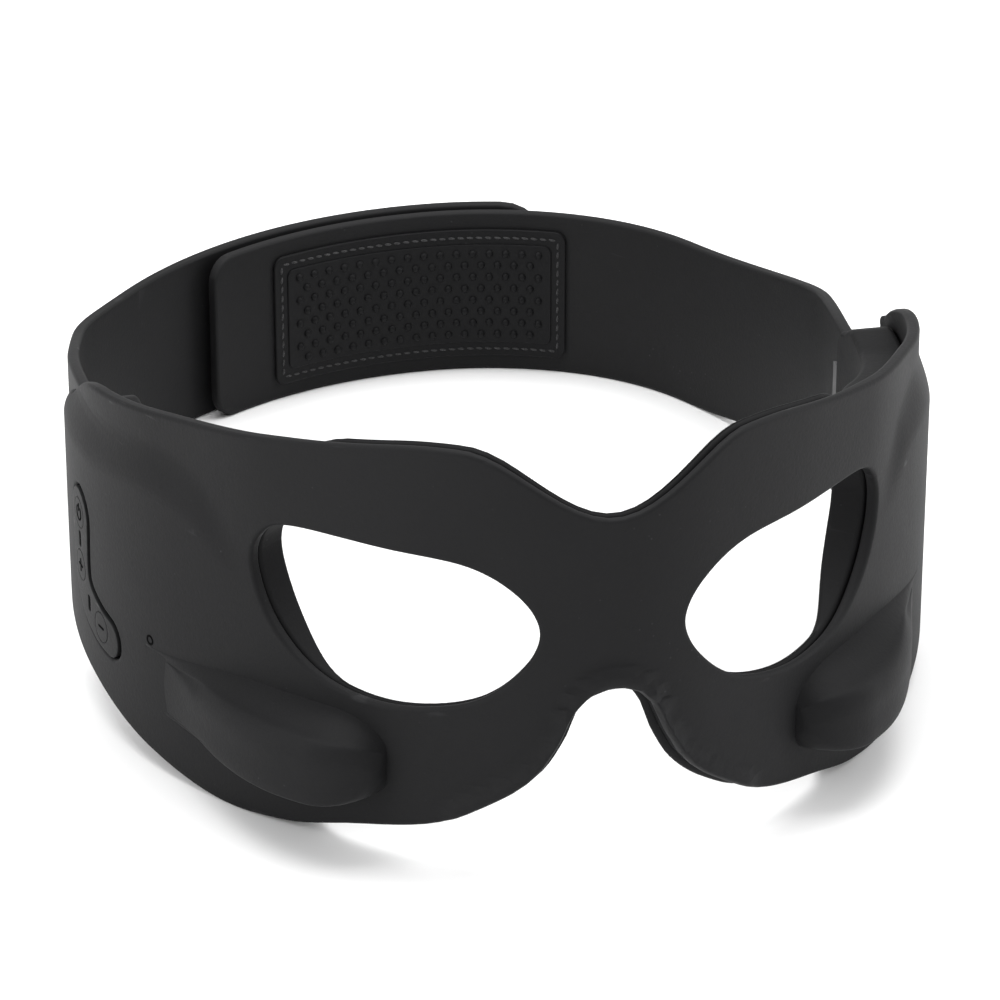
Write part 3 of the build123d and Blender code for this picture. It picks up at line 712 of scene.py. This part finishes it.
for key, place in key_places.items():
    cap = flat_slab(key + "_cap", [round_loop(place, key_radius)], -cap_proud,
                    key_cap - 0.7, 0.12, 0.8)
    dress(cap, "panel_silicone", key, key)
power = key_places["power_key"]
arc = [(power[0] + r * math.sin(math.radians(a)), power[1] + r * math.cos(math.radians(a)))
       for r, span in ((1.45, steps(35, 325, 12)), (1.1, steps(325, 35, 12))) for a in span]
# the sign strokes carry painted shade for the dark of the engraved lines
ring_sign = flat_slab("power_sign_ring", [arc], -sign_proud, -0.1, 0.02, 0.6)
ring_sign.data.materials.append(painted_recess_shade)
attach(ring_sign, "power_key")
bar("power_sign_bar", (power[0], power[1] + 1.0), 0.18, 0.75, "power_key")
plus = key_places["plus_key"]
bar("plus_sign_across", plus, 1.2, 0.19, "plus_key")
bar("plus_sign_up", plus, 0.19, 1.2, "plus_key")
bar("minus_sign", key_places["minus_key"], 1.15, 0.19, "minus_key")

pin_place = (-88.8, 24.1)
pin_rings = [[(pin_place[0] + radius * math.cos(2 * math.pi * i / 20), depth,
               pin_place[1] + radius * math.sin(2 * math.pi * i / 20)) for i in range(20)]
             for radius, depth in ((0.95, 0.25), (0.95, -0.06), (0.6, -0.08), (0.5, 0.05))]
# painted shade: a dark disc stands in for the shade inside the pin hole
pin = loft("pin_hole_shade_disc", pin_rings, wall_place)
dress(pin, "panel_silicone", "mask")
pin.data.materials[0] = painted_recess_shade

# ---- straps ----
strap_thick = 2.2
strap_height = 33.5
root_low = 14.0
root_high = 45.0
settle = 80.0
strap_gap = 1.0
root_run = 40.0
root_tall = 26.0          # height of the round column at each strap root
root_x = (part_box("root_pin_left")[0][0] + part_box("root_pin_left")[1][0]) / 2 / MM
inner_root = strap_side - root_x - strap_thick / 2
outer_root = -ring_place(ring_total - root_at, 0, 0)[0] / MM - root_x - strap_thick / 2


def from_root(u):
    return min(u, ring_total - u)


def strap_low(u):
    return root_low * (1 - smooth((from_root(u) - root_at) / settle))


def strap_high(u):
    return root_high - (root_high - strap_height) * smooth((from_root(u) - root_at) / settle)


def inner_near(u):
    return inner_root + (strap_gap - inner_root) * smooth((u - root_at) / root_run)


def outer_near(u):
    free = -strap_gap - strap_thick
    return outer_root + (free - outer_root) * smooth((ring_total - u - root_at) / root_run)


def band(name, first, last, low, high, near, thick, corners, edge, slot, body, *nodes, cut=2.0):
    piece = bent_slab(name, [band_loop(first, last, low, high, corners)], ring_place,
                      lambda u, z: near(u), lambda u, z: near(u) + thick, edge, cut, 3.0)
    return dress(even_normals(piece), slot, body, *nodes)


band("inner_band", root_at, inner_end, strap_low, strap_high, inner_near, strap_thick, (1.5, 5.0),
     0.6, "strap_silicone", "inner_strap", "strap_inner")
band("outer_band", outer_start, ring_total - root_at, strap_low, strap_high, outer_near, strap_thick,
     (9.0, 1.5), 0.6, "strap_silicone", "outer_strap", "strap_outer")
patch_margin = 4.0
patch_from = outer_start + patch_margin
patch_to = inner_end - patch_margin
for name, near, body in (("hook_patch", 0.15, "inner_strap"), ("loop_patch", -1.0, "outer_strap")):
    band(name + "_tape", patch_from, patch_to, lambda u: strap_low(u) + patch_margin,
         lambda u: strap_high(u) - patch_margin,
         lambda u, near=near: near, 0.85, (2.0, 2.0), 0.2, "hook_loop", body, name)
for name, side, body in (("left", 1, "inner_strap"), ("right", -1, "outer_strap")):
    low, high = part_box(f"root_pin_{name}")
    rings = []
    for radius, up in ((1.2, -0.45), (1.95, 0.1), (1.95, root_tall - 0.1),
                       (1.2, root_tall + 0.45)):
        rings.append([(radius * math.cos(2 * math.pi * i / 32), radius * math.sin(2 * math.pi * i / 32),
                       up) for i in range(32)])
    centre = Vector(((low[0] + high[0]) / 2, (low[1] + high[1]) / 2, low[2]))
    root = loft(f"strap_root_{name}", rings, lambda x, y, z: centre + Vector((x, y, z)) * MM)
    dress(even_normals(root), "strap_silicone", body)

# ---- dimpled grip pad with its sewn border ----
pad_from = 117.5
pad_to = 181.0
pad_low = 3.2
pad_high = 30.2
pad_depth = strap_gap + strap_thick
border = 3.0
rows = 8
columns = 16
pad = band("grip_pad_base", pad_from, pad_to, lambda u: pad_low, lambda u: pad_high,
           lambda u: pad_depth + 0.02, 0.75, (2.2, 2.2), 0.3, "grip_rubber", "inner_strap", "grip_pad")
field = band("grip_pad_field", pad_from + border, pad_to - border, lambda u: pad_low + border,
             lambda u: pad_high - border, lambda u: pad_depth + 0.5, 0.6, (1.5, 1.5), 0.25,
             "grip_rubber", "inner_strap")


def studs(name, centres, length, width, height, depth, slot, body, *nodes):
    """Rounded studs on the head side of the strap: centres are (u, z, turn)."""
    bm = bmesh.new()
    for u, z, turn in centres:
        dome = bmesh.ops.create_uvsphere(bm, u_segments=12, v_segments=8, radius=1.0)["verts"]
        for v in dome:
            along, across, up = v.co.x * length, v.co.y * width, v.co.z * height
            v.co = ring_place(u + along * math.cos(turn) - across * math.sin(turn), depth + up,
                              z + along * math.sin(turn) + across * math.cos(turn))
    bmesh.ops.recalc_face_normals(bm, faces=bm.faces)
    for face in bm.faces:
        face.smooth = True
    mesh = bpy.data.meshes.new(name)
    bm.to_mesh(mesh)
    bm.free()
    return dress(finish_mesh(name, mesh), slot, body, *nodes)


pitch_u = (pad_to - pad_from - 2 * border - 2.0) / columns
pitch_z = (pad_high - pad_low - 2 * border - 1.4) / rows
bumps = [(pad_from + border + 1.0 + pitch_u * (i + (0.5 if row % 2 else 1.0)),
          pad_low + border + 0.7 + pitch_z * (row + 0.5), 0.0)
         for row in range(rows) for i in range(columns - 1 + row % 2)]
studs("grip_bumps", bumps, 0.82, 0.82, 0.62, pad_depth + 1.1, "grip_rubber", "inner_strap")
seam = border * 0.55
stitch = 1.9
across = steps(pad_from + seam + 1.2, pad_to - seam - 1.2, stitch)
up = steps(pad_low + seam + 1.2, pad_high - seam - 1.2, stitch)
stitches = [(u, z, 0.12) for u in across for z in (pad_low + seam, pad_high - seam)]
stitches += [(u, z, math.pi / 2 + 0.12) for z in up for u in (pad_from + seam, pad_to - seam)]
studs("grip_stitches", stitches, 0.72, 0.24, 0.24, pad_depth + 0.78, "thread_black", "inner_strap",
      "grip_stitching")

# ---- floor, light and camera ----
floor_mesh = bpy.data.meshes.new("floor")
size = 3.0
floor_mesh.from_pydata([(-size, -size, 0), (size, -size, 0), (size, size, 0), (-size, size, 0)], [],
                       [(0, 1, 2, 3)])
floor = finish_mesh("floor", floor_mesh)
floor.location.z = cad_box[0][2]
sheet = Sheet("pale_floor")
paper = sheet.noise(3.0)
pale = sheet.blend(paper, (0.90, 0.90, 0.90, 1), (0.93, 0.93, 0.93, 1))
floor.data.materials.append(sheet.finish(pale, 0.9))

world = bpy.data.worlds.new("studio")
bpy.context.scene.world = world
world.use_nodes = True
world.node_tree.nodes["Background"].inputs["Color"].default_value = (1, 1, 1, 1)
world.node_tree.nodes["Background"].inputs["Strength"].default_value = 0.8
focus = Vector((0.001482, plan_y * MM, 0.024754))


def softbox(name, place, width, height, power):
    light = bpy.data.lights.new(name, "AREA")
    light.shape = "RECTANGLE"
    light.size = width
    light.size_y = height
    light.energy = power
    lamp = bpy.data.objects.new(name, light)
    bpy.context.scene.collection.objects.link(lamp)
    lamp.location = place
    lamp.rotation_euler = (focus - Vector(place)).to_track_quat("-Z", "Y").to_euler()


softbox("top_softbox", (0.0, 0.1, 0.95), 0.9, 0.7, 9.5)
softbox("left_softbox", (-0.85, -0.25, 0.45), 0.5, 0.8, 4.0)
softbox("right_softbox", (0.85, -0.15, 0.5), 0.4, 0.8, 4.0)

azimuth = math.radians(-12.447)
elevation = math.radians(26.0)
distance = 0.848
camera_data = bpy.data.cameras.new("camera")
camera_data.sensor_width = 36.0
camera_data.lens = 173.59
camera = bpy.data.objects.new("camera", camera_data)
bpy.context.scene.collection.objects.link(camera)
camera.location = focus + distance * Vector((math.sin(azimuth) * math.cos(elevation),
                                             -math.cos(azimuth) * math.cos(elevation),
                                             math.sin(elevation)))
camera.rotation_euler = (focus - camera.location).to_track_quat("-Z", "Y").to_euler()
bpy.context.scene.camera = camera
bpy.context.scene.view_settings.view_transform = "Standard"
